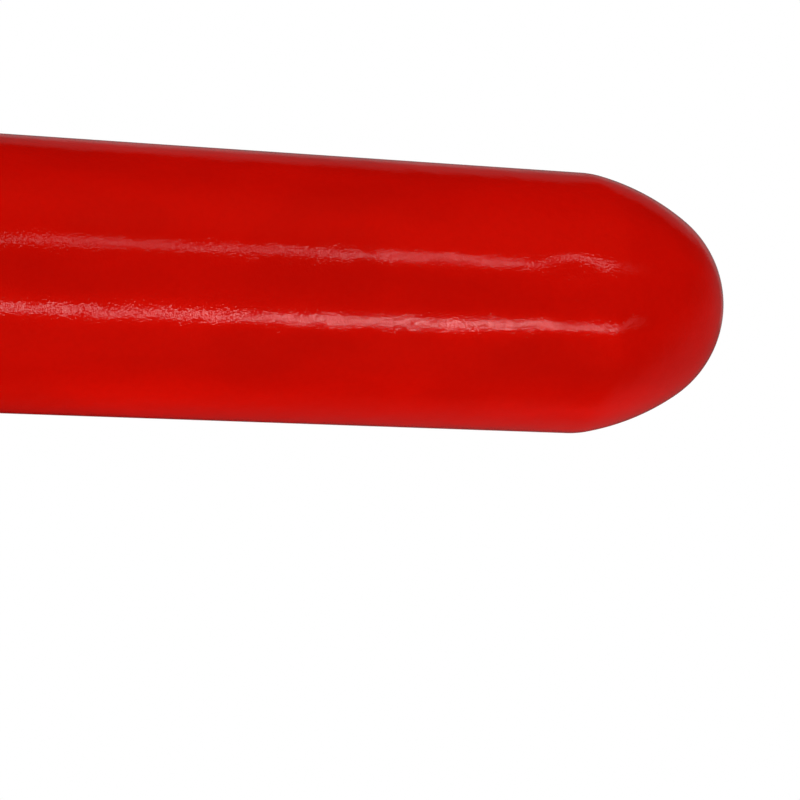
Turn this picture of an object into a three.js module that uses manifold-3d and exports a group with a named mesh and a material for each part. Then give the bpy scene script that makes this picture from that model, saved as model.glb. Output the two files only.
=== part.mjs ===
// Manual post driver: a steel tube closed at the top by a formed dome and weighted inside the closed end, with two
// side handles. It is lifted and dropped over a fence post, so that the strike plate inside hits the post's top.
// It stands on its open mouth. +Z runs up the tube's axis to the dome, the handles lie in the XZ plane, and the
// origin is the centre of the mouth. Millimetres throughout.
import * as THREE from "three";
import { mergeVertices } from "three/addons/utils/BufferGeometryUtils.js";
import Module from "manifold-3d";

// --- Driving dimensions ---------------------------------------------------------------------------------------
const OVERALL_HEIGHT = 610; // 24 in, mouth to dome tip
const TUBE_RADIUS = 36.5; // 2 1/2 in Schedule 40 pipe: 73 mm outside
const TUBE_WALL = 5.2;
const MOUTH_OUTER_CHAMFER = 1.2;
const MOUTH_INNER_CHAMFER = 1.8;

const DOME_SEAM_SLOPE = THREE.MathUtils.degToRad(9.4); // how far the dome already leans in where it meets the tube
const DOME_SIDE_RADIUS = 70; // the side arc of the dome's profile
const DOME_NOSE_RADIUS = 30.8; // the nose arc, centred on the axis

const ROOT_OPENING = 1.6; // the gap between tube and dome that the seam weld fills
const ROOT_FACE = 2; // the square part of each edge, below the bevel
const BEVEL_ANGLE = THREE.MathUtils.degToRad(30);
const ROOT_BEAD = 0.6; // how far the seam weld stands proud inside

const STRIKE_FACE_HEIGHT = 500; // how deep a post goes in
const STRIKE_PLATE_THICKNESS = 19;
const STRIKE_PLATE_CHAMFER = 1.5;
const PLATE_WELD_LEG = 5;
const SLUG_TOP = 565;
const SLUG_LOWER_CHAMFER = 7; // clears the fillet weld round the strike plate
const SLUG_UPPER_CHAMFER = 4; // the groove that the tack welds sit in
const TACK_COUNT = 3;
const TACK_WIDTH = 14;

const BAR_RADIUS = 8; // 16 mm round bar
const HANDLE_REACH = 115; // tube axis to grip axis
const HANDLE_BEND_RADIUS = 38;
const HANDLE_FOOT_LOW = 105;
const HANDLE_FOOT_HIGH = 385;
const FOOT_WELD_LEG = 5;

const GRIP_LENGTH = 150;
const GRIP_RADIUS = 13;
const GRIP_FLANGE_RADIUS = 15;
const GRIP_FLANGE_LENGTH = 6;
const GRIP_END_ROUND = 1.5;

const GAP = 0.3; // between neighbouring solids
const SLUG_GAP = 0.7; // a bar turned to drop into the tube

// --- Derived dimensions ---------------------------------------------------------------------------------------
const BORE_RADIUS = TUBE_RADIUS - TUBE_WALL;
// The side arc's centre, and the angle where the nose arc takes over from it.
const sideCentreRadius = TUBE_RADIUS - DOME_SIDE_RADIUS * Math.cos(DOME_SEAM_SLOPE);
const arcStep = DOME_SIDE_RADIUS - DOME_NOSE_RADIUS;
const noseAngle = Math.acos(-sideCentreRadius / arcStep);
const sideDrop = DOME_SIDE_RADIUS * Math.sin(DOME_SEAM_SLOPE); // the side arc's centre lies this far below the seam
const noseRise = arcStep * Math.sin(noseAngle) - sideDrop; // the nose arc's centre lies this far above the seam
const SEAM_HEIGHT = OVERALL_HEIGHT - noseRise - DOME_NOSE_RADIUS;
const GRIP_MIDDLE = (HANDLE_FOOT_LOW + HANDLE_FOOT_HIGH) / 2;

// --- Facets ---------------------------------------------------------------------------------------------------
const TUBE_SIDES = 64;
const CORE_SIDES = 40;
const BAR_SIDES = 20;
const BAR_STEPS = 36;
const GRIP_SIDES = 24;
const FOOT_WELD_STEPS = 32;
const SIDE_ARC_STEPS = 4;
const NOSE_ARC_STEPS = 7;

// --- Materials ------------------------------------------------------------------------------------------------
const redPaint = new THREE.MeshStandardMaterial({ color: 0xbc0800, roughness: 0.28, metalness: 0 });
const bareSteel = new THREE.MeshStandardMaterial({ color: 0x6f6e6c, roughness: 0.45, metalness: 1 });
const weldSteel = new THREE.MeshStandardMaterial({ color: 0x59564f, roughness: 0.55, metalness: 1 });
const blackRubber = new THREE.MeshStandardMaterial({ color: 0x161616, roughness: 0.8, metalness: 0 });

const wasm = await Module();
wasm.setup();

// --- Helpers --------------------------------------------------------------------------------------------------

// A profile of [radius, height] corners, revolved round Z. The corners run anticlockwise seen with radius to the
// right and height up. A profile that doesn't touch the axis is closed on itself.
function revolve(corners, sides) {
  const points = corners.map(([radius, height]) => new THREE.Vector2(radius, height));
  const touchesAxis = corners[0][0] === 0 && corners.at(-1)[0] === 0;
  if (!touchesAxis) points.push(points[0].clone());
  return new THREE.LatheGeometry(points, sides).rotateX(Math.PI / 2);
}

function toSolid(geometry) {
  const bare = geometry.clone();
  bare.deleteAttribute("normal");
  bare.deleteAttribute("uv");
  const merged = mergeVertices(bare, 1e-3);
  return new wasm.Manifold(
    new wasm.Mesh({
      numProp: 3,
      vertProperties: merged.attributes.position.array,
      triVerts: new Uint32Array(merged.index.array),
    }),
  );
}

function toGeometry(solid) {
  const mesh = solid.getMesh();
  const geometry = new THREE.BufferGeometry();
  geometry.setAttribute("position", new THREE.BufferAttribute(mesh.vertProperties, 3));
  geometry.setIndex(new THREE.BufferAttribute(mesh.triVerts, 1));
  geometry.computeVertexNormals();
  return geometry;
}

// Points on the dome's profile, from the seam to the axis, moved inwards by inset.
function domeArc(inset, firstHeight) {
  const sideRadius = DOME_SIDE_RADIUS - inset;
  const noseRadius = DOME_NOSE_RADIUS - inset;
  const firstAngle = Math.asin((firstHeight - SEAM_HEIGHT + sideDrop) / sideRadius);
  const points = [];
  for (let i = 0; i < SIDE_ARC_STEPS; i++) {
    const angle = THREE.MathUtils.lerp(firstAngle, noseAngle, i / SIDE_ARC_STEPS);
    const radius = sideCentreRadius + sideRadius * Math.cos(angle);
    points.push([radius, SEAM_HEIGHT - sideDrop + sideRadius * Math.sin(angle)]);
  }
  for (let i = 0; i < NOSE_ARC_STEPS; i++) {
    const angle = THREE.MathUtils.lerp(noseAngle, Math.PI / 2, i / NOSE_ARC_STEPS);
    points.push([noseRadius * Math.cos(angle), SEAM_HEIGHT + noseRise + noseRadius * Math.sin(angle)]);
  }
  points.push([0, SEAM_HEIGHT + noseRise + noseRadius]);
  return points;
}

// --- Tube, dome and the seam between them ---------------------------------------------------------------------

const rootRadius = BORE_RADIUS + ROOT_FACE;
const bevelHeight = (TUBE_RADIUS - rootRadius) * Math.tan(BEVEL_ANGLE);

function barrelTube() {
  const top = SEAM_HEIGHT - ROOT_OPENING / 2;
  return revolve(
    [
      [BORE_RADIUS + MOUTH_INNER_CHAMFER, 0],
      [TUBE_RADIUS - MOUTH_OUTER_CHAMFER, 0],
      [TUBE_RADIUS, MOUTH_OUTER_CHAMFER],
      [TUBE_RADIUS, top - bevelHeight],
      [rootRadius, top],
      [BORE_RADIUS, top],
      [BORE_RADIUS, MOUTH_INNER_CHAMFER],
    ],
    TUBE_SIDES,
  );
}

function domeHead() {
  const bottom = SEAM_HEIGHT + ROOT_OPENING / 2;
  const outside = domeArc(0, bottom + bevelHeight);
  const inside = domeArc(TUBE_WALL, bottom);
  return revolve([...inside.reverse(), [rootRadius, bottom], ...outside], TUBE_SIDES);
}

// The seam weld fills the bevelled groove through the whole wall. It is ground flush outside.
function domeSeamWeld() {
  const halfRoot = ROOT_OPENING / 2 - GAP;
  const halfCap = halfRoot + bevelHeight;
  const leanIn = halfCap * Math.tan(DOME_SEAM_SLOPE);
  const inner = BORE_RADIUS - ROOT_BEAD;
  return revolve(
    [
      [inner, SEAM_HEIGHT - halfRoot],
      [rootRadius, SEAM_HEIGHT - halfRoot],
      [TUBE_RADIUS, SEAM_HEIGHT - halfCap],
      [TUBE_RADIUS, SEAM_HEIGHT],
      [TUBE_RADIUS - leanIn, SEAM_HEIGHT + halfCap],
      [rootRadius, SEAM_HEIGHT + halfRoot],
      [inner, SEAM_HEIGHT + halfRoot],
    ],
    TUBE_SIDES,
  );
}

// --- The weighted end, inside ---------------------------------------------------------------------------------

const plateRadius = BORE_RADIUS - GAP;
const plateTop = STRIKE_FACE_HEIGHT + STRIKE_PLATE_THICKNESS;

function strikePlate() {
  return revolve(
    [
      [0, STRIKE_FACE_HEIGHT],
      [plateRadius - STRIKE_PLATE_CHAMFER, STRIKE_FACE_HEIGHT],
      [plateRadius, STRIKE_FACE_HEIGHT + STRIKE_PLATE_CHAMFER],
      [plateRadius, plateTop],
      [0, plateTop],
    ],
    CORE_SIDES,
  );
}

// The fillet that holds the strike plate runs round its upper edge, against the bore.
function strikePlateWeld() {
  const outer = BORE_RADIUS - GAP;
  const bottom = plateTop + GAP;
  const crown = 0.6 * PLATE_WELD_LEG;
  return revolve(
    [
      [outer - PLATE_WELD_LEG, bottom],
      [outer, bottom],
      [outer, bottom + PLATE_WELD_LEG],
      [outer - PLATE_WELD_LEG + crown, bottom + crown],
    ],
    CORE_SIDES,
  );
}

const slugRadius = BORE_RADIUS - SLUG_GAP;

function ballastSlug() {
  const bottom = plateTop + GAP;
  return revolve(
    [
      [0, bottom],
      [slugRadius - SLUG_LOWER_CHAMFER, bottom],
      [slugRadius, bottom + SLUG_LOWER_CHAMFER],
      [slugRadius, SLUG_TOP - SLUG_UPPER_CHAMFER],
      [slugRadius - SLUG_UPPER_CHAMFER, SLUG_TOP],
      [0, SLUG_TOP],
    ],
    CORE_SIDES,
  );
}

// One tack weld between the slug's upper chamfer and the bore: a short piece of a ring.
function slugTackWeld(turn) {
  const outer = BORE_RADIUS - GAP;
  const grooveBottom = SLUG_TOP - SLUG_UPPER_CHAMFER;
  const ring = revolve(
    [
      [outer, grooveBottom + GAP],
      [outer, SLUG_TOP + 1.8],
      [outer - 3, SLUG_TOP + 1.2],
      [outer - SLUG_UPPER_CHAMFER + GAP, SLUG_TOP + GAP],
    ],
    CORE_SIDES,
  );
  const slice = new THREE.BoxGeometry(2 * TACK_WIDTH, TACK_WIDTH, 4 * SLUG_UPPER_CHAMFER);
  slice.translate(BORE_RADIUS, 0, SLUG_TOP);
  const tack = toGeometry(toSolid(ring).intersect(toSolid(slice)));
  return tack.rotateZ(turn);
}

// --- Handles --------------------------------------------------------------------------------------------------

// A quarter bend in the XZ plane, from one angle to another about its centre.
class HandleBend extends THREE.Curve {
  constructor(centre, from, to) {
    super();
    Object.assign(this, { centre, from, to });
  }
  getPoint(t, target = new THREE.Vector3()) {
    const angle = THREE.MathUtils.lerp(this.from, this.to, t);
    target.set(Math.cos(angle), 0, Math.sin(angle));
    return target.multiplyScalar(HANDLE_BEND_RADIUS).add(this.centre);
  }
}

// The bar's centre line on the +X side: out from the tube, up past the grip and back to the tube.
function handleLine() {
  const inside = 0.8 * TUBE_RADIUS; // the bar starts inside the tube and is cut to fit round it
  const bendX = HANDLE_REACH - HANDLE_BEND_RADIUS;
  const lowBend = HANDLE_FOOT_LOW + HANDLE_BEND_RADIUS;
  const highBend = HANDLE_FOOT_HIGH - HANDLE_BEND_RADIUS;
  const at = (x, z) => new THREE.Vector3(x, 0, z);
  const line = new THREE.CurvePath();
  line.add(new THREE.LineCurve3(at(inside, HANDLE_FOOT_LOW), at(bendX, HANDLE_FOOT_LOW)));
  line.add(new HandleBend(at(bendX, lowBend), -Math.PI / 2, 0));
  line.add(new THREE.LineCurve3(at(HANDLE_REACH, lowBend), at(HANDLE_REACH, highBend)));
  line.add(new HandleBend(at(bendX, highBend), 0, Math.PI / 2));
  line.add(new THREE.LineCurve3(at(bendX, HANDLE_FOOT_HIGH), at(inside, HANDLE_FOOT_HIGH)));
  return line;
}

function handleBar() {
  const section = new THREE.Shape().absarc(0, 0, BAR_RADIUS, 0, 2 * Math.PI);
  const bar = new THREE.ExtrudeGeometry(section, {
    steps: BAR_STEPS,
    curveSegments: BAR_SIDES / 2, // an arc gets two sides per segment
    extrudePath: handleLine(),
  });
  const tube = new THREE.CylinderGeometry(TUBE_RADIUS + GAP, TUBE_RADIUS + GAP, OVERALL_HEIGHT, TUBE_SIDES);
  tube.rotateX(Math.PI / 2).translate(0, 0, OVERALL_HEIGHT / 2);
  return toGeometry(toSolid(bar).subtract(toSolid(tube)));
}

// The fillet round a handle foot follows the saddle line where the bar meets the tube. It starts as a torus, whose
// corners are then placed: column turns round the bar, row goes round the bead's section.
function footWeld(height) {
  const section = [
    [0, 0],
    [1, 0],
    [0.78, 0.45],
    [0.45, 0.78],
    [0, 1],
  ]; // [away from the bar, away from the tube], in weld legs, from the root
  const bead = new THREE.TorusGeometry(1, 0.5, section.length, FOOT_WELD_STEPS);
  const position = bead.attributes.position;
  const columns = FOOT_WELD_STEPS + 1;
  for (let i = 0; i < position.count; i++) {
    const turn = ((i % columns) / FOOT_WELD_STEPS) * 2 * Math.PI;
    const [fromBar, fromTube] = section[Math.floor(i / columns) % section.length];
    const around = BAR_RADIUS + GAP + fromBar * FOOT_WELD_LEG;
    const y = around * Math.cos(turn);
    const tubeSurface = Math.sqrt((TUBE_RADIUS + GAP) ** 2 - y ** 2);
    position.setXYZ(i, tubeSurface + fromTube * FOOT_WELD_LEG, y, height + around * Math.sin(turn));
  }
  bead.computeVertexNormals();
  return bead;
}

// A moulded sleeve with a flange at each end, over the straight part of the bar.
function handGrip() {
  const half = GRIP_LENGTH / 2;
  const bore = BAR_RADIUS + GAP;
  const neck = half - GRIP_FLANGE_LENGTH;
  const upper = [
    [GRIP_RADIUS, 0],
    [GRIP_RADIUS, neck - GRIP_FLANGE_LENGTH],
    [GRIP_FLANGE_RADIUS, neck],
    [GRIP_FLANGE_RADIUS, half - GRIP_END_ROUND],
    [GRIP_FLANGE_RADIUS - GRIP_END_ROUND, half],
    [bore, half],
  ];
  const lower = upper.slice(1).map(([radius, height]) => [radius, -height]);
  return revolve([...lower.reverse(), ...upper], GRIP_SIDES);
}

// --- Assembly -------------------------------------------------------------------------------------------------

const driver = new THREE.Group();

function add(name, geometry, material, parent = driver) {
  const mesh = new THREE.Mesh(geometry, material);
  mesh.name = name;
  parent.add(mesh);
  return mesh;
}

add("barrel_tube", barrelTube(), redPaint);
add("dome_head", domeHead(), redPaint);
add("dome_seam_weld", domeSeamWeld(), redPaint);
add("strike_plate", strikePlate(), bareSteel);
add("strike_plate_weld", strikePlateWeld(), weldSteel);
add("ballast_slug", ballastSlug(), bareSteel);
for (let i = 0; i < TACK_COUNT; i++) {
  add(`slug_tack_weld_${i + 1}`, slugTackWeld((i / TACK_COUNT) * 2 * Math.PI), weldSteel);
}

// The left side is the right side turned half round the tube.
for (const [side, turn] of [
  ["right", 0],
  ["left", Math.PI],
]) {
  const group = new THREE.Group();
  group.rotation.z = turn;
  driver.add(group);
  add(`${side}_handle`, handleBar(), redPaint, group);
  add(`${side}_lower_foot_weld`, footWeld(HANDLE_FOOT_LOW), redPaint, group);
  add(`${side}_upper_foot_weld`, footWeld(HANDLE_FOOT_HIGH), redPaint, group);
  add(`${side}_grip`, handGrip(), blackRubber, group).position.set(HANDLE_REACH, 0, GRIP_MIDDLE);
}

export default driver;
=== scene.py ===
"""The looks of a manual post driver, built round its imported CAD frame.

The driver stands on its open mouth, with +Z up the tube to the dome. Shapes are worked out in
millimetres and made in metres. Azimuths are in degrees from -Y, which is the front, and grow
towards +X.
"""

import math

import bpy
import numpy as np
from mathutils import Matrix, Vector

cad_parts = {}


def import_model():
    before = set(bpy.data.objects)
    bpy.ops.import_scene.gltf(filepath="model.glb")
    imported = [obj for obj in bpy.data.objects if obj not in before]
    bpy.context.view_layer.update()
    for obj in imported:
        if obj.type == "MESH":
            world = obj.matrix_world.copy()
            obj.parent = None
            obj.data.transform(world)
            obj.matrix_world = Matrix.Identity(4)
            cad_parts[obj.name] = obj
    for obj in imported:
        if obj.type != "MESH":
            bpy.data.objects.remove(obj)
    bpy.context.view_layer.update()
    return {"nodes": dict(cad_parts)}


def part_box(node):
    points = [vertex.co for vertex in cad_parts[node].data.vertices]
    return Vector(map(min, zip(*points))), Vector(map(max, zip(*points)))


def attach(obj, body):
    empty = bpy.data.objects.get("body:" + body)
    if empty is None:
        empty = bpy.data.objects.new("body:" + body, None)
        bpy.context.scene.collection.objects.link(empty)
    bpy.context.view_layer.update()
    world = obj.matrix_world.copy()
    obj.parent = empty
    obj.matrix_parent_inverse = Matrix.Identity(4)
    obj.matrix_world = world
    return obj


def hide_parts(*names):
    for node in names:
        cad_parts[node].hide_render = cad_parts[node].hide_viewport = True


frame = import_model()

MM = 0.001
TURN = 2 * math.pi


# --- Sizes that come from the frame, in millimetres ---------------------------------------------


def box_mm(node):
    low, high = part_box(node)
    return np.array(low) / MM, np.array(high) / MM


barrel_high = box_mm("barrel_tube")[1]
dome_high = box_mm("dome_head")[1]
seam_low, seam_high = box_mm("dome_seam_weld")
handle_low, handle_high = box_mm("right_handle")
grip_low, grip_high = box_mm("right_grip")

TUBE_RADIUS = barrel_high[0]
DOME_TOP = dome_high[2]
SEAM = (seam_low[2] + seam_high[2]) / 2
CAP_HALF = (seam_high[2] - seam_low[2]) / 2 + 0.15  # the seam weld meets its neighbours in mid gap
BAR_RADIUS = handle_high[1]
GRIP_X = (grip_low[0] + grip_high[0]) / 2
GRIP_HALF = (grip_high[2] - grip_low[2]) / 2
GRIP_FLANGE = (grip_high[0] - grip_low[0]) / 2
FOOT_LOW = handle_low[2] + BAR_RADIUS
FOOT_HIGH = handle_high[2] - BAR_RADIUS
HANDLE_MIDDLE = (FOOT_LOW + FOOT_HIGH) / 2

# --- Sizes that the frame's boxes don't tell, in millimetres ------------------------------------

WALL = 5.2
BORE = TUBE_RADIUS - WALL
ROOT_FACE = 2
ROOT_OPENING = 1.6
MOUTH_OUTER_CHAMFER = 1.2
MOUTH_INNER_CHAMFER = 1.8
SEAM_SLOPE = math.radians(9.4)
SIDE_ARC = 70
NOSE_ARC = 30.8
BEND_RADIUS = 38
FOOT_WELD_LEG = 5
GRIP_NECK = 13
GRIP_FLANGE_LENGTH = 6

# The dome's profile: a side arc from the seam, then a nose arc centred on the axis.
side_x = TUBE_RADIUS - SIDE_ARC * math.cos(SEAM_SLOPE)
side_z = SEAM - SIDE_ARC * math.sin(SEAM_SLOPE)
nose_angle = math.acos(-side_x / (SIDE_ARC - NOSE_ARC))
nose_z = side_z + (SIDE_ARC - NOSE_ARC) * math.sin(nose_angle)


# --- Meshes -------------------------------------------------------------------------------------


def skin(name, grid, closed_rows=False, start=None, end=None, sharp=40, row_slots=None):
    """A closed mesh from rows of points, each row a ring.

    Rows join up if closed_rows; otherwise start and end are the points that close the first and
    last ring. row_slots gives each row of faces its material slot.
    """
    rows, columns, _ = grid.shape
    points = grid.reshape(-1, 3)
    index = np.arange(rows * columns).reshape(rows, columns)
    below = index if closed_rows else index[:-1]
    above = np.roll(index, -1, 0) if closed_rows else index[1:]
    quads = np.stack([below, np.roll(below, -1, 1), np.roll(above, -1, 1), above], -1).reshape(-1, 4)
    faces = quads.tolist()
    slots = None if row_slots is None else np.repeat(row_slots, columns).tolist()
    for tip, ring, outward in ((start, index[0], False), (end, index[-1], True)):
        if tip is None:
            continue
        tip_index = len(points)
        points = np.vstack([points, tip])
        ahead = np.roll(ring, -1)
        pairs = zip(ring.tolist(), ahead.tolist())
        fan = [(a, b, tip_index) if outward else (b, a, tip_index) for a, b in pairs]
        faces += fan
        if slots is not None:
            slots += [int(row_slots[-1 if outward else 0])] * len(fan)
    mesh = bpy.data.meshes.new(name)
    mesh.from_pydata((points * MM).tolist(), [], faces)
    mesh.update()
    mesh.shade_smooth()
    mesh.set_sharp_from_angle(angle=math.radians(sharp))
    if slots is not None:
        mesh.polygons.foreach_set("material_index", slots)
    piece = bpy.data.objects.new(name, mesh)
    bpy.context.scene.collection.objects.link(piece)
    return piece


def rounded(corners, steps=3):
    """A closed profile of (radius, height, corner rounding), with each corner turned into a short curve."""
    made = []
    count = len(corners)
    for i, (radius, height, rounding) in enumerate(corners):
        here = np.array([radius, height], float)
        before = np.array(corners[i - 1][:2], float)
        after = np.array(corners[(i + 1) % count][:2], float)
        if rounding == 0:
            made.append(here)
            continue
        start = here + (before - here) / np.linalg.norm(before - here) * rounding
        finish = here + (after - here) / np.linalg.norm(after - here) * rounding
        for t in np.linspace(0, 1, steps + 1):
            made.append((1 - t) ** 2 * start + 2 * t * (1 - t) * here + t**2 * finish)
    return np.array(made)


def revolved(profile, sides, relief=None):
    """Rings of points round Z from a profile of (radius, height, share).

    relief(height, turn) is how far the surface stands out, and share is how much of it a point takes.
    """
    turn = np.arange(sides) / sides * TURN
    radius = np.repeat(profile[:, :1], sides, 1)
    height = np.repeat(profile[:, 1:2], sides, 1)
    if relief is not None:
        radius = radius + profile[:, 2:3] * relief(height, turn[None, :])
    return np.stack([radius * np.cos(turn), radius * np.sin(turn), height], -1)


def between(start, end, spacing):
    """Evenly spaced values from start to end, both included."""
    return np.linspace(start, end, max(2, round(abs(end - start) / spacing) + 1))


# --- The uneven surface under the paint ---------------------------------------------------------


def gaussian_marks(height, turn, marks):
    """Sum of soft bumps and dents on the tube.

    A mark is (height, azimuth, depth, half height, half width), and a dent's depth is negative.
    """
    total = np.zeros(np.broadcast(height, turn).shape)
    for mark_height, azimuth, depth, half_height, half_width in marks:
        away = (turn - math.radians(azimuth - 90) + math.pi) % TURN - math.pi
        up = (height - mark_height) / half_height
        around = away * TUBE_RADIUS / half_width
        total += depth * np.exp(-0.5 * (up**2 + around**2))
    return total


def rolling_marks(count=150, seed=7):
    """Slow unevenness of welded pipe, all over it."""
    random = np.random.default_rng(seed)
    return [
        (
            random.uniform(0, DOME_TOP),
            random.uniform(0, 360),
            random.uniform(-0.02, 0.02),
            random.uniform(9, 26),
            random.uniform(4, 9),
        )
        for _ in range(count)
    ]


# Marks left by grinding the seam flush, and nibs of dirt caught in the paint. Those between
# azimuths -24 and 24 bend the two long reflections at the front.
GRINDING_MARKS = [
    (SEAM - 24, -24, -0.20, 5, 3.5),
    (SEAM - 14, -9, -0.55, 5, 3.8),
    (SEAM - 14, 24, -0.30, 16, 5),
    (SEAM - 14, 60, -0.09, 8, 6),
    (SEAM - 6, 118, 0.11, 7, 5),
    (SEAM - 12, 175, -0.10, 7, 6),
    (SEAM - 8, 238, 0.12, 6, 5),
    (SEAM - 15, 295, -0.08, 8, 5),
]
PAINT_NIBS = [
    (498.5, -11.5, 0.055, 1.3, 1.3),
    (551.5, 14.0, 0.065, 1.4, 1.4),
    (529.0, 18.5, 0.030, 1.2, 1.2),
    (470.0, 17.5, 0.035, 1.3, 1.3),
]
SURFACE_MARKS = rolling_marks() + GRINDING_MARKS + PAINT_NIBS


def relief(height, turn):
    return gaussian_marks(height, turn, SURFACE_MARKS)


def ground_radius(height):
    """The outside radius over the ground seam: a short curve from the tube's side to the dome's."""
    share = (height - SEAM + CAP_HALF) / (2 * CAP_HALF)
    top_slope = -math.tan(math.asin((CAP_HALF + SIDE_ARC * math.sin(SEAM_SLOPE)) / SIDE_ARC))
    top_radius = side_x + math.sqrt(SIDE_ARC**2 - (SEAM + CAP_HALF - side_z) ** 2)
    return (
        TUBE_RADIUS
        + (top_radius - TUBE_RADIUS) * (3 * share**2 - 2 * share**3)
        + top_slope * 2 * CAP_HALF * (share**3 - share**2)
    )


# --- Tube, seam and dome ------------------------------------------------------------------------

TUBE_SIDES = 200
RELIEF_END = 20  # the radius on the dome inside which the surface is smooth
RELIEF_FADE = 16  # how much further out the relief is at its full depth
VIEW_START = 385  # above this the tube is seen close up, so its rings are closer together


def with_share(points, share):
    """Adds the share of the relief that the points take, as their third column."""
    points = np.asarray(points, float).reshape(-1, 2)
    return np.column_stack([points, np.full(len(points), float(share))])


def barrel():
    mouth = rounded(
        [
            (BORE, 30, 0),
            (BORE, MOUTH_INNER_CHAMFER, 0.6),
            (BORE + MOUTH_INNER_CHAMFER, 0, 0.5),
            (TUBE_RADIUS - MOUTH_OUTER_CHAMFER, 0, 0.4),
            (TUBE_RADIUS, MOUTH_OUTER_CHAMFER, 0.5),
            (TUBE_RADIUS, 30, 0),
        ]
    )
    top = SEAM - CAP_HALF
    wall = np.concatenate([between(5, VIEW_START, 4), between(VIEW_START, top, 1.1)[1:]])
    bore = between(top + CAP_HALF - ROOT_OPENING / 2, 12, 9)
    profile = np.vstack(
        [
            with_share(mouth[1:-1], 0),
            with_share([(TUBE_RADIUS, z) for z in wall], 1),
            with_share([(BORE + ROOT_FACE, bore[0])], 0),
            with_share([(BORE, z) for z in bore], 0),
        ]
    )
    grid = revolved(profile, TUBE_SIDES, relief)
    add_pipe_seam(grid)
    middle = (profile[:, 0] + np.roll(profile[:, 0], -1)) / 2
    painted = (middle > BORE + 0.05).astype(int)
    return skin("barrel_skin", grid, closed_rows=True, row_slots=1 - painted)


def add_pipe_seam(grid, ridge=0.7, half_width=1.6, azimuth=150):
    """The bead that welded pipe has along the inside of its bore."""
    radius = np.hypot(grid[..., 0], grid[..., 1])
    turn = np.arctan2(grid[..., 1], grid[..., 0])
    away = ((turn - math.radians(azimuth - 90) + math.pi) % TURN - math.pi) * BORE
    in_bore = (radius < BORE + 0.01) & (grid[..., 2] > 6)
    inward = np.where(in_bore, ridge * np.exp(-0.5 * (away / half_width) ** 2), 0)
    grid[..., :2] *= (1 - inward / radius)[..., None]


def seam_band():
    bottom, top = SEAM - CAP_HALF, SEAM + CAP_HALF
    outside = [(ground_radius(z), z) for z in between(bottom, top, 0.5)]
    half_root = ROOT_OPENING / 2
    inside = [(BORE + ROOT_FACE, SEAM + half_root), (BORE + ROOT_FACE, SEAM - half_root)]
    profile = np.vstack([with_share(outside, 1), with_share(inside, 0)])
    return skin("seam_weld_ground", revolved(profile, TUBE_SIDES, relief), closed_rows=True)


def arc(radius, centre_x, centre_z, angles):
    """Points of (radius, height) on a round stretch of the dome's profile."""
    return [(centre_x + radius * math.cos(a), centre_z + radius * math.sin(a)) for a in angles]


def dome():
    inner_side, inner_nose = SIDE_ARC - WALL, NOSE_ARC - WALL
    low_angle = math.asin((SEAM + CAP_HALF - side_z) / SIDE_ARC)
    inner_low = math.asin((SEAM + ROOT_OPENING / 2 - side_z) / inner_side)
    outer = arc(SIDE_ARC, side_x, side_z, between(low_angle, nose_angle, 0.014))
    outer += arc(NOSE_ARC, 0, nose_z, between(nose_angle, math.pi / 2, 0.032)[1:-1])
    inner = arc(inner_side, side_x, side_z, between(inner_low, nose_angle, 0.08))
    inner += arc(inner_nose, 0, nose_z, between(nose_angle, math.pi / 2, 0.12)[1:-1])
    inner.reverse()
    root = [(BORE + ROOT_FACE, SEAM + ROOT_OPENING / 2)]
    profile = np.vstack([with_share(inner, 0), with_share(root, 0), with_share(outer, 1)])
    # The relief dies away towards the tip, where the rings close up.
    profile[:, 2] *= np.clip((profile[:, 0] - RELIEF_END) / RELIEF_FADE, 0, 1)
    grid = revolved(profile, TUBE_SIDES, relief)
    return skin(
        "dome_skin",
        grid,
        start=np.array([0, 0, nose_z + inner_nose]),
        end=np.array([0, 0, DOME_TOP]),
    )


# --- Handles ------------------------------------------------------------------------------------

BAR_SIDES = 40
BEND_FLATTENING = 0.025  # a bent bar is a little flatter across the bend
FOOT_SINK = 0.2  # how far the bar's feet reach into the tube's skin


def handle_line():
    """Points and tangents along the bar's centre, from the lower foot to the upper one, for the +X side."""
    bend_x = GRIP_X - BEND_RADIUS
    low_bend, high_bend = FOOT_LOW + BEND_RADIUS, FOOT_HIGH - BEND_RADIUS
    foot = [(x, FOOT_LOW) for x in between(TUBE_RADIUS - 3, bend_x, 4)]
    first = [
        (bend_x + BEND_RADIUS * math.sin(a), low_bend - BEND_RADIUS * math.cos(a))
        for a in between(0, math.pi / 2, 0.06)
    ]
    straight = [(GRIP_X, z) for z in between(low_bend, high_bend, 12)]
    upper = [(x, FOOT_LOW + FOOT_HIGH - z) for x, z in reversed(foot + first)]
    line = np.array(foot[:-1] + first + straight[1:-1] + upper[:-1] + [upper[-1]])
    ahead = np.gradient(line, axis=0)
    return line, ahead / np.linalg.norm(ahead, axis=1)[:, None]


def handle_bar(side):
    """side is 1 for the +X handle and -1 for the -X one."""
    line, tangent = handle_line()
    turn = np.arange(BAR_SIDES) / BAR_SIDES * TURN
    outward = np.column_stack([tangent[:, 1], -tangent[:, 0]])  # away from the bend's centre
    bent = bend_share(line)
    flat = BAR_RADIUS * (1 - BEND_FLATTENING * bent)
    x = line[:, :1] + flat[:, None] * outward[:, :1] * np.cos(turn)
    z = line[:, 1:] + flat[:, None] * outward[:, 1:] * np.cos(turn)
    y = BAR_RADIUS * np.sin(turn) * np.ones_like(x)
    grid = np.stack([side * x, side * y, z], -1)
    # The feet are cut to sit on the tube.
    for row in (0, -1):
        grid[row, :, 0] = side * np.sqrt((TUBE_RADIUS - FOOT_SINK) ** 2 - grid[row, :, 1] ** 2)
    name = "right_bar" if side > 0 else "left_bar"
    start, end = grid[0].mean(0), grid[-1].mean(0)
    return skin(name, grid, start=start, end=end)


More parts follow.
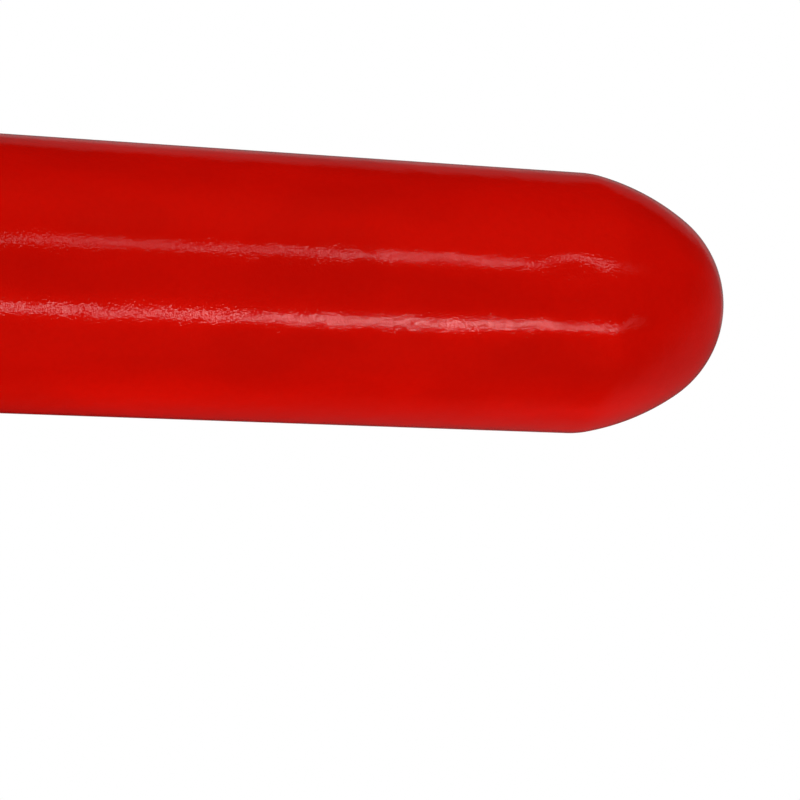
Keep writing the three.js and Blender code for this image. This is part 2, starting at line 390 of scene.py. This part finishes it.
def bend_share(line):
    """1 in the middle of a bend, 0 on the straights."""
    bend_x = GRIP_X - BEND_RADIUS
    low, high = FOOT_LOW + BEND_RADIUS, FOOT_HIGH - BEND_RADIUS
    across = np.clip((line[:, 0] - bend_x) / BEND_RADIUS, 0, 1)
    along = np.clip(np.maximum(low - line[:, 1], line[:, 1] - high) / BEND_RADIUS, 0, 1)
    return np.clip(4 * across * along, 0, 1)


WELD_COLUMNS = 260
WELD_RIPPLES = 26
RIPPLE_DEPTH = 0.45
BEAD_HOLLOW = 0.17  # how much thinner the bead is in its middle than at its toes
RIPPLE_LEAD = 0.1  # radians by which the middle of a ripple runs ahead of its toes


def wobble(random, turn, depth, waves):
    """A smooth random wave round a ring."""
    return sum(random.uniform(-depth, depth) * np.sin(k * turn + random.uniform(0, TURN)) for k in waves)


def foot_weld(name, side, height, seed):
    """A rippled fillet bead round a handle foot, laid along the saddle where the bar meets the tube."""
    turn = np.arange(WELD_COLUMNS) / WELD_COLUMNS * TURN
    random = np.random.default_rng(seed)
    wander = wobble(random, turn, 0.25, (1, 2, 3, 5))
    uneven = wobble(random, turn, 0.2, (2, 4, 7))
    phase = WELD_RIPPLES * turn + 1.2 * np.sin(3 * turn + random.uniform(0, TURN))
    sawtooth = ((phase / TURN) % 1) ** 1.6
    ripple = RIPPLE_DEPTH * np.sin(sawtooth * math.pi)
    leg = FOOT_WELD_LEG + 0.25 * wander
    section = [(0.0, 0.0)]
    for angle in np.linspace(0, math.pi / 2, 13):
        section.append((math.cos(angle), math.sin(angle)))
    rings = []
    for i, (from_bar, from_tube) in enumerate(section):
        bulge = 0 if i == 0 else math.sin(2 * math.atan2(from_tube, from_bar + 1e-9))
        size = leg * (1 - BEAD_HOLLOW * bulge) + bulge * (ripple + uneven)
        around = BAR_RADIUS - 0.3 + from_bar * size
        out = from_tube * size
        # Ripples bow along the bead, so the middle of the section runs ahead of its toes.
        ahead = turn + RIPPLE_LEAD * bulge
        y = around * np.cos(ahead)
        surface = np.sqrt((TUBE_RADIUS - 0.25) ** 2 - y**2)
        rings.append(np.column_stack([side * (surface + out), side * y, height + around * np.sin(ahead)]))
    return skin(name, np.array(rings), closed_rows=True, sharp=70)


def grip(side):
    """A moulded rubber sleeve: ribbed between two flanges, with a seam line where the mould parts."""
    half = GRIP_HALF
    neck = half - GRIP_FLANGE_LENGTH - 7
    bore = BAR_RADIUS + 0.12
    heights = between(-neck + 4, neck - 4, 0.55)
    pitch = 6.0
    groove = np.clip(np.cos(heights / pitch * TURN) * 2.2 + 0.6, -1, 1)
    ends = np.clip((neck - 4 - np.abs(heights)) / 3, 0, 1)
    ribbed = [(GRIP_NECK - 0.75 * (0.5 - 0.5 * g) * e, z) for g, e, z in zip(groove, ends, heights)]
    flange = rounded(
        [
            (GRIP_NECK, neck - 3, 0),
            (GRIP_NECK, neck + 2, 2),
            (GRIP_FLANGE, half - GRIP_FLANGE_LENGTH, 2.5),
            (GRIP_FLANGE, half, 2.2),
            (bore + 1.2, half, 0.8),
            (bore, half - 1.2, 0.5),
            (bore, half - 8, 0),
        ],
        steps=5,
    )
    top = [tuple(p) for p in flange[1:]]
    bottom = [(r, -z) for r, z in reversed(top)]
    profile = np.array(bottom + ribbed + top)
    sides = 72
    grid = revolved(with_share(profile, 0), sides)
    turn = np.arange(sides) / sides * TURN
    mould_line = 0.22 * np.exp(-0.5 * (np.sin(turn) * GRIP_NECK / 0.7) ** 2)
    outside = (profile[:, 0] > bore + 1.5)[:, None]
    radius = np.hypot(grid[..., 0], grid[..., 1])
    grid[..., :2] *= (1 + np.where(outside, mould_line - 0.2, 0) / radius)[..., None]
    grid[..., 0] = side * (GRIP_X + grid[..., 0])
    grid[..., 1] *= side
    grid[..., 2] += HANDLE_MIDDLE
    name = "right_grip_rubber" if side > 0 else "left_grip_rubber"
    return skin(name, grid, closed_rows=True, sharp=60)


# --- Materials ----------------------------------------------------------------------------------


class Look:
    """A node material. Lengths are given in millimetres."""

    def __init__(self, name):
        self.material = bpy.data.materials.new(name)
        self.material.use_nodes = True
        self.nodes = self.material.node_tree.nodes
        self.links = self.material.node_tree.links
        self.shader = self.nodes["Principled BSDF"]
        self.place = self.nodes.new("ShaderNodeTexCoord").outputs["Object"]

    def set(self, **values):
        """Sets the shader's sockets: base_color is its Base Color, and so on."""
        for key, value in values.items():
            socket = self.shader.inputs[key.replace("_", " ").title().replace("Ior", "IOR")]
            if isinstance(value, bpy.types.NodeSocket):
                self.links.new(value, socket)
            elif socket.type == "RGBA":
                socket.default_value = (*value, 1)
            else:
                socket.default_value = value

    def stretched(self, x, y, z):
        node = self.nodes.new("ShaderNodeMapping")
        node.inputs["Scale"].default_value = (x, y, z)
        self.links.new(self.place, node.inputs["Vector"])
        return node.outputs[0]

    def noise(self, size, detail=2.0, roughness=0.5, place=None):
        node = self.nodes.new("ShaderNodeTexNoise")
        node.inputs["Scale"].default_value = 1 / (size * MM)
        node.inputs["Detail"].default_value = detail
        node.inputs["Roughness"].default_value = roughness
        self.links.new(place or self.place, node.inputs["Vector"])
        return node.outputs["Fac"]

    def axis(self, name):
        node = self.nodes.new("ShaderNodeSeparateXYZ")
        self.links.new(self.place, node.inputs[0])
        return node.outputs[name]

    def spread(self, value, low, high, to_low=0.0, to_high=1.0):
        """Maps low..high to to_low..to_high, clamped and smooth."""
        node = self.nodes.new("ShaderNodeMapRange")
        node.interpolation_type = "SMOOTHSTEP"
        for key, number in (("From Min", low), ("From Max", high), ("To Min", to_low), ("To Max", to_high)):
            node.inputs[key].default_value = number
        self.links.new(value, node.inputs["Value"])
        return node.outputs[0]

    def maths(self, operation, a, b):
        node = self.nodes.new("ShaderNodeMath")
        node.operation = operation
        for socket, value in zip(node.inputs, (a, b)):
            if isinstance(value, bpy.types.NodeSocket):
                self.links.new(value, socket)
            else:
                socket.default_value = value
        return node.outputs[0]

    def mix(self, share, a, b):
        """From colour a to colour b."""
        node = self.nodes.new("ShaderNodeMix")
        node.data_type = "RGBA"
        self.links.new(share, node.inputs["Factor"])
        for key, value in (("A", a), ("B", b)):
            socket = [s for s in node.inputs if s.name == key and s.type == "RGBA"][0]
            if isinstance(value, bpy.types.NodeSocket):
                self.links.new(value, socket)
            else:
                socket.default_value = (*value, 1)
        return [s for s in node.outputs if s.type == "RGBA"][0]

    def bump(self, height, depth, below=None):
        """Depth is how far a height of 1 stands up."""
        node = self.nodes.new("ShaderNodeBump")
        node.inputs["Distance"].default_value = depth * MM
        self.links.new(height, node.inputs["Height"])
        if below is not None:
            self.links.new(below, node.inputs["Normal"])
        return node.outputs[0]


def red_paint():
    """Gloss paint: slow orange peel, with two sizes of fine grain that break up the reflections."""
    look = Look("red_paint")
    clouds = look.spread(look.noise(26, detail=3, place=look.stretched(1, 1, 0.45)), 0.36, 0.64)
    mottle = look.spread(look.noise(1.6, detail=3), 0.3, 0.75)
    colour = look.mix(clouds, (0.575, 0.0030, 0.0003), (0.660, 0.0034, 0.0004))
    colour = look.mix(look.maths("MULTIPLY", mottle, 0.18), colour, (0.50, 0.0022, 0.0002))
    peel = look.bump(look.noise(7, detail=1), 0.16)
    fine = look.bump(look.noise(0.30, detail=0), 0.016, peel)
    grain = look.bump(look.noise(0.60, detail=0), 0.030, fine)
    roughness = look.spread(look.noise(14, detail=2), 0.3, 0.7, 0.30, 0.38)
    look.set(
        base_color=colour,
        metallic=0.4,
        roughness=roughness,
        specular_tint=(1.0, 0.01, 0.0),
        specular_ior_level=0.0,
        coat_weight=1.0,
        coat_roughness=0.075,
        coat_ior=1.5,
        coat_normal=grain,
        normal=grain,
    )
    return look.material


def bore_steel():
    """Overspray just inside the mouth, thinning out to dark pipe with a little rust bloom."""
    look = Look("bore_steel")
    height = look.axis("Z")
    ragged = look.maths("ADD", height, look.spread(look.noise(9, detail=4), 0.2, 0.8, -0.02, 0.02))
    bare = look.spread(ragged, 0.025, 0.075)
    bloom = look.spread(look.noise(16, detail=5, roughness=0.62), 0.48, 0.66)
    steel = look.mix(bloom, (0.075, 0.07, 0.066), (0.12, 0.055, 0.028))
    grain = look.bump(look.noise(1.1, detail=3), 0.05)
    look.set(
        base_color=look.mix(bare, (0.50, 0.004, 0.001), steel),
        metallic=look.maths("MULTIPLY", bare, 0.6),
        roughness=look.spread(look.noise(5), 0.3, 0.7, 0.42, 0.6),
        normal=grain,
    )
    return look.material


def bare_steel():
    """The strike plate and slug: dull rolled steel with turning marks."""
    look = Look("bare_steel")
    streaks = look.noise(1.2, detail=3, place=look.stretched(1, 1, 0.1))
    scale = look.spread(look.noise(11, detail=4), 0.42, 0.62)
    look.set(
        base_color=look.mix(scale, (0.20, 0.195, 0.19), (0.40, 0.385, 0.365)),
        metallic=0.9,
        roughness=look.spread(streaks, 0.3, 0.7, 0.36, 0.52),
        normal=look.bump(streaks, 0.02),
    )
    return look.material


def weld_steel():
    """Unpainted bead: straw and grey heat colours under a brushed surface."""
    look = Look("weld_steel")
    heat = look.spread(look.noise(4, detail=3), 0.35, 0.65)
    look.set(
        base_color=look.mix(heat, (0.26, 0.22, 0.17), (0.34, 0.33, 0.32)),
        metallic=0.85,
        roughness=look.spread(look.noise(0.9, detail=2), 0.3, 0.7, 0.38, 0.6),
        normal=look.bump(look.noise(1.4, detail=3), 0.06),
    )
    return look.material


def black_rubber():
    """The grips: dull moulded rubber with a little dust on it."""
    look = Look("black_rubber")
    dust = look.spread(look.noise(7, detail=4, roughness=0.6), 0.5, 0.78)
    grain = look.noise(0.45, detail=2)
    look.set(
        base_color=look.mix(dust, (0.014, 0.014, 0.015), (0.032, 0.031, 0.030)),
        roughness=look.spread(look.noise(3.5, detail=3), 0.3, 0.7, 0.5, 0.68),
        specular_ior_level=0.45,
        normal=look.bump(grain, 0.03),
    )
    return look.material


# --- Put the pieces in place --------------------------------------------------------------------

PAINT = red_paint()
BORE_STEEL = bore_steel()
STEEL = bare_steel()
WELD = weld_steel()
RUBBER = black_rubber()


def place(piece, slot, materials, *nodes):
    for material in materials:
        piece.data.materials.append(material)
    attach(piece, "root")
    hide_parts(*nodes)


place(barrel(), "red_paint", [PAINT, BORE_STEEL], "barrel_tube")
place(seam_band(), "red_paint", [PAINT], "dome_seam_weld")
place(dome(), "red_paint", [PAINT], "dome_head")
weld_seed = 20
for side, word in ((1, "right"), (-1, "left")):
    place(handle_bar(side), "red_paint", [PAINT], f"{word}_handle")
    place(grip(side), "black_rubber", [RUBBER], f"{word}_grip")
    for level, height in (("lower", FOOT_LOW), ("upper", FOOT_HIGH)):
        weld_seed += 1
        bead = foot_weld(f"{word}_{level}_bead", side, height, weld_seed)
        place(bead, "red_paint", [PAINT], f"{word}_{level}_foot_weld")


def refinish(node, material):
    """Gives a CAD node that keeps its own shape a finished material."""
    piece = frame["nodes"][node]
    piece.data.materials.clear()
    piece.data.materials.append(material)


refinish("strike_plate", STEEL)
refinish("ballast_slug", STEEL)
refinish("strike_plate_weld", WELD)
for number in (1, 2, 3):
    refinish(f"slug_tack_weld_{number}", WELD)


# --- Floor --------------------------------------------------------------------------------------

FLOOR_RADIUS = 6.0  # metres, as all lengths are from here on
FLOOR_SIDES = 96
FLOOR_DROP = 0.0005  # keeps the floor just clear of the mouth
FLOOR_FADE = (1.1, 3.6)  # the distances where it starts and ends fading out


def floor():
    """A pale round floor that fades out into the white behind it."""
    mesh = bpy.data.meshes.new("floor")
    turn = np.arange(FLOOR_SIDES) / FLOOR_SIDES * TURN
    rim = np.column_stack([FLOOR_RADIUS * np.cos(turn), FLOOR_RADIUS * np.sin(turn), 0 * turn])
    mesh.from_pydata(rim.tolist(), [], [tuple(range(FLOOR_SIDES))])
    piece = bpy.data.objects.new("floor", mesh)
    piece.location.z = -FLOOR_DROP
    piece.visible_glossy = False
    bpy.context.scene.collection.objects.link(piece)
    look = Look("pale_floor")
    look.set(
        base_color=look.mix(look.noise(90, detail=3), (0.84, 0.84, 0.84), (0.87, 0.87, 0.87)),
        roughness=0.6,
        specular_ior_level=0.0,
    )
    distance = look.nodes.new("ShaderNodeVectorMath")
    distance.operation = "LENGTH"
    look.links.new(look.place, distance.inputs[0])
    look.set(alpha=look.spread(distance.outputs["Value"], *FLOOR_FADE, 1.0, 0.0))
    mesh.materials.append(look.material)


floor()

# --- Light --------------------------------------------------------------------------------------


def on_ring(azimuth, distance, height):
    turn = math.radians(azimuth)
    return Vector((distance * math.sin(turn), -distance * math.cos(turn), height))


def area_light(name, centre, target, size, brightness, upright=Vector((0, 0, 1))):
    """A flat lamp, brightness being what its face looks like. upright is the way its length runs."""
    data = bpy.data.lights.new(name, "AREA")
    data.shape = "RECTANGLE"
    data.size, data.size_y = size
    data.energy = brightness * math.pi * size[0] * size[1]
    lamp = bpy.data.objects.new(name, data)
    back = (centre - target).normalized()
    side = upright.cross(back).normalized()
    turned = Matrix((side, back.cross(side), back)).transposed().to_4x4()
    lamp.matrix_world = Matrix.Translation(centre) @ turned
    lamp.visible_camera = False
    bpy.context.scene.collection.objects.link(lamp)
    return lamp


# How bright a strip is along its height: the share of its brightness at each height.
STRIP_FADE = ((0.60, 0.5), (0.74, 1.0), (0.835, 1.0), (0.89, 0.16), (1.30, 0.12), (1.60, 0.0))

EVEN = ((0, 1), (1.6, 1))
# The low strips end below what the main view sees reflected, and light up the back.
LOW_FADE = ((-0.80, 0.6), (0.20, 1.0), (0.45, 0.0))


def strip(name, low, high, brightness, width, distance=0.9, fade=STRIP_FADE):
    """A thin tube light seen only as a reflection. low and high are the (azimuth, height) of its ends."""
    start, end = on_ring(low[0], distance, low[1]), on_ring(high[0], distance, high[1])
    centre = (start + end) / 2
    target = Vector((0, 0, centre.z))
    lamp = area_light(name, centre, target, (width, (end - start).length), brightness, end - start)
    lamp.visible_diffuse = False
    lamp.data.use_nodes = True
    nodes, links = lamp.data.node_tree.nodes, lamp.data.node_tree.links
    split = nodes.new("ShaderNodeSeparateXYZ")
    links.new(nodes.new("ShaderNodeNewGeometry").outputs["Position"], split.inputs[0])
    share = nodes.new("ShaderNodeMapRange")
    share.inputs["From Min"].default_value = low[1]
    share.inputs["From Max"].default_value = high[1]
    links.new(split.outputs["Z"], share.inputs["Value"])
    ramp = nodes.new("ShaderNodeValToRGB")
    stops = ramp.color_ramp.elements
    while len(stops) < len(fade):
        stops.new(0.5)
    for stop, (height, value) in zip(stops, fade):
        stop.position = (height - low[1]) / (high[1] - low[1])
        stop.color = (value, value, value, 1)
    links.new(share.outputs[0], ramp.inputs["Fac"])
    links.new(ramp.outputs["Color"], nodes["Emission"].inputs["Strength"])
    return lamp


FILL_DISTANCE = 2.4
FILL_HEIGHT = 1.3
FILL_SIZE = (1.8, 1.8)
FILL_TARGET = Vector((0, 0, 0.35))


def fill(name, azimuth, brightness):
    """A big soft lamp that lights the object but isn't seen in its gloss."""
    centre = on_ring(azimuth, FILL_DISTANCE, FILL_HEIGHT)
    lamp = area_light(name, centre, FILL_TARGET, FILL_SIZE, brightness)
    lamp.visible_glossy = False
    return lamp


strip("left_strip", (-13, -0.7), (-38, 1.65), 4.6, 0.030)
strip("right_strip", (41, -0.7), (17, 1.66), 12, 0.030)
strip("back_low_strip", (-168, -0.8), (-168, 0.46), 8, 0.035, fade=LOW_FADE)
strip("right_low_strip", (132, -0.8), (132, 0.46), 8, 0.035, fade=LOW_FADE)
strip("back_card", (-164, -0.7), (-164, 1.6), 0.12, 0.55, fade=EVEN)
strip("side_card", (-143, -0.7), (-143, 1.6), 0.075, 0.50, fade=EVEN)
fill("left_fill", -60, 2.3)
fill("right_fill", 60, 1.4)
fill("back_fill", 120, 5.5)


AMBIENT = 1.0
# The room in the reflections: brighter high up behind on the right, and below the horizon.
ROOM_GLOW = {"towards": (0.35, 0.49, 0.80), "low": 0.58, "high": 0.97, "dim": 0.003, "bright": 0.086}
LOW_GLOW = {"towards": (0, 0, -1), "low": 0.02, "high": 0.40, "dim": 0.0, "bright": 0.08}


def world():
    """White to the camera, an even soft light on the surfaces, a dim grey room in the reflections."""
    made = bpy.data.worlds.new("studio")
    made.use_nodes = True
    # Without its own sampling, the light path below always knows what kind of ray arrives.
    made.cycles.sampling_method = "NONE"
    nodes, links = made.node_tree.nodes, made.node_tree.links
    background = nodes["Background"]
    path = nodes.new("ShaderNodeLightPath")
    direction = nodes.new("ShaderNodeTexCoord").outputs["Generated"]

    def glow(towards, low, high, dim, bright):
        """Brighter towards a direction; low and high are cosines of the angle from it."""
        cosine = nodes.new("ShaderNodeVectorMath")
        cosine.operation = "DOT_PRODUCT"
        cosine.inputs[1].default_value = Vector(towards).normalized()
        links.new(direction, cosine.inputs[0])
        spread = nodes.new("ShaderNodeMapRange")
        spread.interpolation_type = "SMOOTHSTEP"
        for key, value in (("From Min", low), ("From Max", high), ("To Min", dim), ("To Max", bright)):
            spread.inputs[key].default_value = value
        links.new(cosine.outputs["Value"], spread.inputs["Value"])
        return spread.outputs[0]

    room = nodes.new("ShaderNodeMath")
    links.new(glow(**ROOM_GLOW), room.inputs[0])
    links.new(glow(**LOW_GLOW), room.inputs[1])
    soft = nodes.new("ShaderNodeMix")
    soft.inputs["A"].default_value = AMBIENT
    links.new(path.outputs["Is Glossy Ray"], soft.inputs["Factor"])
    links.new(room.outputs[0], soft.inputs["B"])
    seen = nodes.new("ShaderNodeMix")
    seen.inputs["B"].default_value = 1.0
    links.new(path.outputs["Is Camera Ray"], seen.inputs["Factor"])
    links.new(soft.outputs["Result"], seen.inputs["A"])
    links.new(seen.outputs["Result"], background.inputs["Strength"])
    background.inputs["Color"].default_value = (1, 1, 1, 1)
    bpy.context.scene.world = made


world()

# --- Camera -------------------------------------------------------------------------------------

LENS = 99
SENSOR_WIDTH = 36
CLIP = (0.05, 50)
CAMERA_AT = Vector((29.0, -583.7, SEAM - 207.8)) * MM
LOOK_UP = 15.06  # degrees above level, towards the dome
ROLL = 92.2  # the camera lies on its side, so the tube runs across the picture


def camera():
    data = bpy.data.cameras.new("camera")
    data.lens = LENS
    data.sensor_width = SENSOR_WIDTH
    data.clip_start, data.clip_end = CLIP
    made = bpy.data.objects.new("camera", data)
    level = Matrix.Rotation(math.radians(90 + LOOK_UP), 4, "X")
    made.matrix_world = Matrix.Translation(CAMERA_AT) @ level @ Matrix.Rotation(math.radians(ROLL), 4, "Z")
    bpy.context.scene.collection.objects.link(made)
    bpy.context.scene.camera = made


camera()

bpy.context.scene.view_settings.view_transform = "Standard"
bpy.context.scene.view_settings.look = "None"
